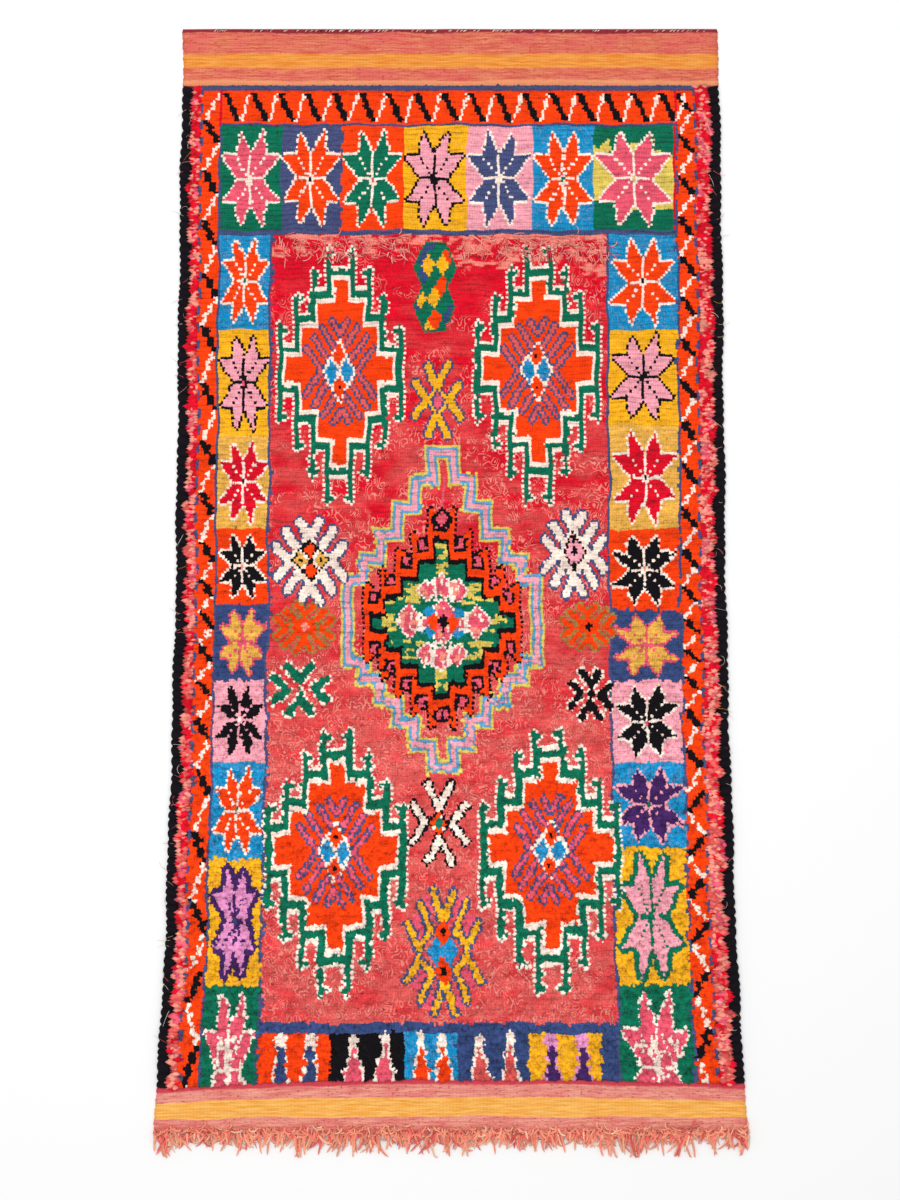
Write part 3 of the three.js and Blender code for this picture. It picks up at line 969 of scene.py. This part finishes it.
(tuft_waists, tuft_roots, tuft_tips), tuft_dye_and_painted_light = pile_tufts()
for name, yarns in FAMILIES.items():
    tied = (tied_in(*yarns) & ~bare).ravel()
    surface = carried(tuft_waists[tied], tuft_roots[tied], tuft_tips[tied])
    marks = np.repeat(worn.ravel()[tied], len(TUFT_PAINTED_SHADING))
    add_piece(name, surface, pile_wool, "rug_wool", tuft_dye_and_painted_light[tied], worn=marks)

# Side cords: thick black wool overcast in lumps down each long edge
CORD_SIDES = 12
CORD_STEP = 4.0


def side_cord(side):
    """A low crowned outline carried along one edge, swelling in width and height with each overcast turn;
    its black is painted lighter on each swelling as a painted highlight.
    """
    along = np.arange(PILE_FOOT + 0.5, PILE_HEAD - 0.4, CORD_STEP)[:, None]
    turns = np.cumsum(CORD_STEP / np.clip(20 + 5 * smooth_line(len(along), 5), 12, 32))[:, None]
    lump = abs(np.sin(np.pi * turns)) ** 0.6
    angle = np.pi * 2 * (np.arange(CORD_SIDES) + 0.5) / CORD_SIDES
    outer = outer_edge(along, side)
    middle = outer - side * CORD_WIDTH / 2
    reach = np.where(side * np.cos(angle) > 0, 0.72 + 0.34 * lump, 1.0)
    x = middle + CORD_WIDTH / 2 * np.cos(angle) * reach
    slant = along + 3 * np.cos(angle) * side
    height = CORD_THICK / 2 * (0.7 + 0.32 * lump) * (1 + np.sign(np.sin(angle)) * abs(np.sin(angle)) ** 0.7)
    slant = np.clip(slant, PILE_FOOT + 0.3, PILE_HEAD - 0.3)
    rings = on_rug(x, slant, np.maximum(height, UNDERSIDE))[None, :, ::-1]
    ends = rings.mean(axis=2)
    # Painted highlight: the black is lighter on each swelling and darker between them.
    black_with_painted_highlight = linear(YARNS["black"]) * (0.5 + 1.1 * lump[..., None]) * np.ones((1, CORD_SIDES, 1))
    dye_and_painted_light = np.concatenate([black_with_painted_highlight[0, :1], black_with_painted_highlight.reshape(-1, 3), black_with_painted_highlight[-1, :1]])
    return carried(rings, ends[:, 0], ends[:, -1]), dye_and_painted_light


for name, side in (("left_cord", -1), ("right_cord", 1)):
    surface, dye_and_painted_light = side_cord(side)
    cord = add_piece(name, surface, cord_wool, "black_wool", dye_and_painted_light=dye_and_painted_light)
    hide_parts(f"{'left' if side < 0 else 'right'}_side_cord")


# Loose yarn: fringe, hem stitches and stray threads are thin tubes along bent paths
YARN_STATIONS = 8


def yarn_tubes(paths, thick, codes, mix, sides=3, tip=0.65, root=(1, 1, 1)):
    """Thin tubes and their dyes: along each path a small polygon square to it, thinner towards the end.

    Root is the share of red, green and blue that is left of the yarn colour where a yarn starts: painted
    shade at the roots where it is below 1.
    """
    count = len(paths)
    ahead = np.gradient(paths, axis=1)
    ahead /= np.linalg.norm(ahead, axis=-1, keepdims=True)
    beside = np.cross(ahead, (0.0, 0.0, 1.0))
    beside /= np.linalg.norm(beside, axis=-1, keepdims=True) + 1e-9
    above = np.cross(beside, ahead)
    angle = 2 * np.pi * np.arange(sides) / sides
    taper = np.linspace(1, tip, YARN_STATIONS)[None, :, None, None]
    radius = (thick / 2 * MM)[:, None, None, None] * taper
    ring = np.cos(angle)[:, None] * beside[:, :, None] + np.sin(angle)[:, None] * above[:, :, None]
    rings = paths[:, :, None] + radius * ring
    picks = tie.choice(len(codes), count, p=mix)
    dyes = np.array([linear(code) for code in codes])[picks] * np.exp(tie.normal(0, 0.12, (count, 1)))
    share = np.linspace(0, 1, (YARN_STATIONS - 2) * sides + 2)[:, None]
    dyes = np.clip(dyes[:, None] * (np.array(root) + (1 - np.array(root)) * share), 0, 1)
    return carried(rings[:, 1:-1], paths[:, 0], paths[:, -1]), dyes.reshape(-1, 3)


def curling(x, along, heading, curl, reach):
    """Places across and along of yarns that set out at a heading and turn evenly by their curl."""
    share = np.linspace(0, 1, YARN_STATIONS)
    angle = heading[:, None] + curl[:, None] * share
    step = reach[:, None] / YARN_STATIONS
    path_x = x[:, None] + np.cumsum(np.cos(angle) * step, axis=1)
    path_along = along[:, None] + np.cumsum(np.sin(angle) * step, axis=1)
    return path_x, path_along


def joined(*sets):
    """Several sets of tubes as one surface with its dyes, each set in a level strip of the map."""
    points, faces, corners, dyes = [], [], [], []
    for place, ((set_points, set_faces, set_corners), dye_and_painted_light) in enumerate(sets):
        faces.append(set_faces + sum(len(part) for part in points))
        points.append(set_points)
        corners.append((set_corners * (1, 0.98) + (0, place)) / (1, len(sets)))
        dyes.append(dye_and_painted_light)
    return tuple(np.concatenate(part) for part in (points, faces, corners)), np.concatenate(dyes)


FRINGE_CODES = ("#F8AC8A", "#F3987E", "#FBC09C", "#E8746C", "#FDDCBC")
FRINGE_MIX = (0.34, 0.28, 0.2, 0.13, 0.05)
# Warp ends painted darker and redder at their roots: painted shade where they bunch at the foot edge.
FRINGE_ROOT_SHADE = (0.9, 0.6, 0.64)


def warp_ends(count, base, reach, thick, turn, curl, lift, sides, tip):
    """Warp ends along the foot edge: each sets out near it, turns as it goes, arches up and falls."""
    left, right = outer_edge(FRINGE_LENGTH, -1), outer_edge(FRINGE_LENGTH, 1)
    start = left + (right - left) * (np.arange(count) + tie.uniform(0, 1, count)) / count
    tufted = np.clip(1 + 0.3 * smooth_line(count, 7), 0.4, 1.5)
    length = tie.uniform(*reach, count) * tufted
    heading = tie.normal(-np.pi / 2, turn, count)
    first = FRINGE_LENGTH + tie.uniform(*base, count)
    x, along = curling(start, first, heading, tie.normal(0, curl, count), length)
    x = np.clip(x, left + 3, right - 3)
    along = np.maximum(along, 1.5)
    width = tie.uniform(*thick, count)
    bow = np.sin(np.pi * np.linspace(0, 1, YARN_STATIONS)) ** 0.8
    rest = np.interp(along, (FRINGE_LENGTH - 20, FRINGE_LENGTH + 2), (0.4, WEAVE_THICK - 0.6))
    height = rest + width[:, None] / 2 + tie.uniform(0.5, lift, count)[:, None] * bow
    return yarn_tubes(on_rug(x, along, height), width, FRINGE_CODES, FRINGE_MIX, sides, tip, FRINGE_ROOT_SHADE)


# Thick ends, thinner ones and stray threads: how many, then the ranges and spreads that warp_ends names
surface, dye_and_painted_light = joined(
    warp_ends(400, (2, 12), (32, 54), (5.4, 8.6), 0.25, 0.8, 3.0, 5, 0.5),
    warp_ends(600, (2, 22), (20, 40), (4.0, 6.0), 0.6, 1.5, 4.5, 4, 0.6),
    warp_ends(110, (0, 22), (18, 40), (1.4, 2.2), 0.7, 1.9, 6.0, 3, 0.7),
)
fringe = add_piece("warp_fringe", surface, warp_wool, "warp_wool", dye_and_painted_light=dye_and_painted_light)
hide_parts("foot_fringe")

STRAY_CODES = ("#D9C0A0", "#EE9A90", "#F4E6D8", "#E4606A", "#D8A24A")
STRAY_MIX = (0.2, 0.2, 0.2, 0.2, 0.2)
HEM_CODES = ("#F7E9DC", "#F0C890", "#6E2A38", "#3A2A3E")
HEM_MIX = (0.6, 0.1, 0.15, 0.15)


def stray_threads(count):
    """Loose thread ends over the cords and the pile's edges: short arcs that lie on what is under them."""
    side = np.where(tie.random(count) < 0.5, -1, 1)
    along = tie.uniform(PILE_FOOT + 40, PILE_HEAD - 40, count)
    edge = np.where(side < 0, outer_edge(along, -1), outer_edge(along, 1))
    x = edge - side * tie.uniform(14, 42, count)
    heading = tie.uniform(-1.2, 1.2, count) + np.where(side < 0, np.pi, 0)
    path_x, path_along = curling(x, along, heading, tie.normal(0, 1.3, count), tie.uniform(20, 48, count))
    inside = side[:, None] * (edge[:, None] - path_x)
    height = np.interp(inside, (-6, 4, 12, 30), (5, 9, 12.5, 14.0))
    thick = tie.uniform(0.7, 1.2, count)
    return yarn_tubes(on_rug(path_x, path_along, height), thick, STRAY_CODES, STRAY_MIX)


def hem_stitches(count):
    """Slanting stitches over the rolled head hem: short humped arcs of thread."""
    share = np.linspace(0, 1, YARN_STATIONS)
    place = np.sort(tie.random(count))
    left, right = outer_edge(LENGTH, -1), outer_edge(LENGTH, 1)
    x = (left + 60 + (right - left - 90) * place)[:, None] + 7 * (share - 0.5)
    along = LENGTH - 4.5 + (tie.uniform(4, 7, count)[:, None]) * (share - 0.5)
    height = WEAVE_THICK + 0.6 + 1.3 * np.sin(np.pi * share)[None] + 0 * x
    return yarn_tubes(on_rug(x, along, height), np.full(count, 1.7), HEM_CODES, HEM_MIX)


BAND_CODES = ("#EE9488", "#F3AA9A", "#E46A72", "#D02A40")
BAND_MIX = (0.4, 0.22, 0.22, 0.16)
PILE_WIDTH, PATCHED_LEFT, PATCHED_WIDTH = 1290, 67, 15


def band_strands(count):
    """Long loose ends over the pale band at the head of the field, on either side of the patched figure."""
    span = PILE_HEAD - PILE_FOOT
    along = PILE_HEAD - span * tie.uniform(44.6, 51, count) / CHART_TALL
    col = tie.uniform(27, 112, count)
    col = col + np.where(col > PATCHED_LEFT, PATCHED_WIDTH, 0)
    x = outer_edge(along, -1) + PILE_INSET + PILE_WIDTH * col / CHART_WIDE
    heading = tie.normal(-np.pi / 2, 0.4, count) + np.where(tie.random(count) < 0.5, 1.3, 0)
    path_x, path_along = curling(x, along, heading, tie.normal(0, 0.8, count), tie.uniform(14, 36, count))
    height = np.full_like(path_x, 13.4) + 0.7 * np.sin(np.pi * np.linspace(0, 1, YARN_STATIONS))
    return yarn_tubes(on_rug(path_x, path_along, height), tie.uniform(2.0, 3.8, count), BAND_CODES, BAND_MIX)


surface, dye_and_painted_light = joined(stray_threads(80), hem_stitches(120), band_strands(420))
threads = add_piece("loose_threads", surface, warp_wool, "rug_wool", dye_and_painted_light=dye_and_painted_light)

# Pale floor, soft studio light from the head side, and the camera high above the rug
FLOOR_SIDE = 14.0
FLOOR_PAINT = (0.94, 0.94, 0.94, 1.0)
SKY_STRENGTH = 0.79
LAMP_PLACE, LAMP_TARGET, LAMP_SIZE, LAMP_WATTS = (-0.9, 1.3, 4.4), (0, -0.4, 0), 2.0, 84
CAMERA_PLACE, CAMERA_TILT, LENS_MM, SENSOR_MM = (-0.0029, -0.3008, 3.5715), 4, 45.0, 36.0


def plain_floor():
    """One flat square under the rug."""
    half = FLOOR_SIDE / 2
    corners = np.array([(-half, -half, 0), (half, -half, 0), (half, half, 0), (-half, half, 0)])
    mesh = bpy.data.meshes.new("studio_floor")
    mesh.from_pydata(corners.tolist(), [], [(0, 1, 2, 3)])
    finish = Wool("pale_floor_paint", 1.0, 0.0, 0.0)
    finish.shader.inputs["Base Color"].default_value = FLOOR_PAINT
    mesh.materials.append(finish.material)
    floor = bpy.data.objects.new("studio_floor", mesh)
    bpy.context.scene.collection.objects.link(floor)
    return floor


plain_floor()

scene = bpy.context.scene
scene.view_settings.view_transform = "Standard"
world = bpy.data.worlds.new("studio_sky")
world.use_nodes = True
world.node_tree.nodes["Background"].inputs["Color"].default_value = (1.0, 1.0, 1.0, 1.0)
world.node_tree.nodes["Background"].inputs["Strength"].default_value = SKY_STRENGTH
scene.world = world


def soft_light(name, place, target, size, power):
    """A square lamp that faces a point on the rug."""
    lamp = bpy.data.lights.new(name, "AREA")
    lamp.shape = "SQUARE"
    lamp.size = size
    lamp.energy = power
    light = bpy.data.objects.new(name, lamp)
    light.location = place
    away = light.location - type(light.location)(target)
    light.rotation_euler = away.to_track_quat("Z", "Y").to_euler()
    scene.collection.objects.link(light)
    return light


soft_light("head_side_light", LAMP_PLACE, LAMP_TARGET, LAMP_SIZE, LAMP_WATTS)

camera = bpy.data.objects.new("photo_camera", bpy.data.cameras.new("photo_camera"))
camera.data.sensor_fit = "VERTICAL"
camera.data.sensor_height = SENSOR_MM
camera.data.lens = LENS_MM
camera.location = CAMERA_PLACE
camera.rotation_euler = (math.radians(CAMERA_TILT), 0, 0)
scene.collection.objects.link(camera)
scene.camera = camera
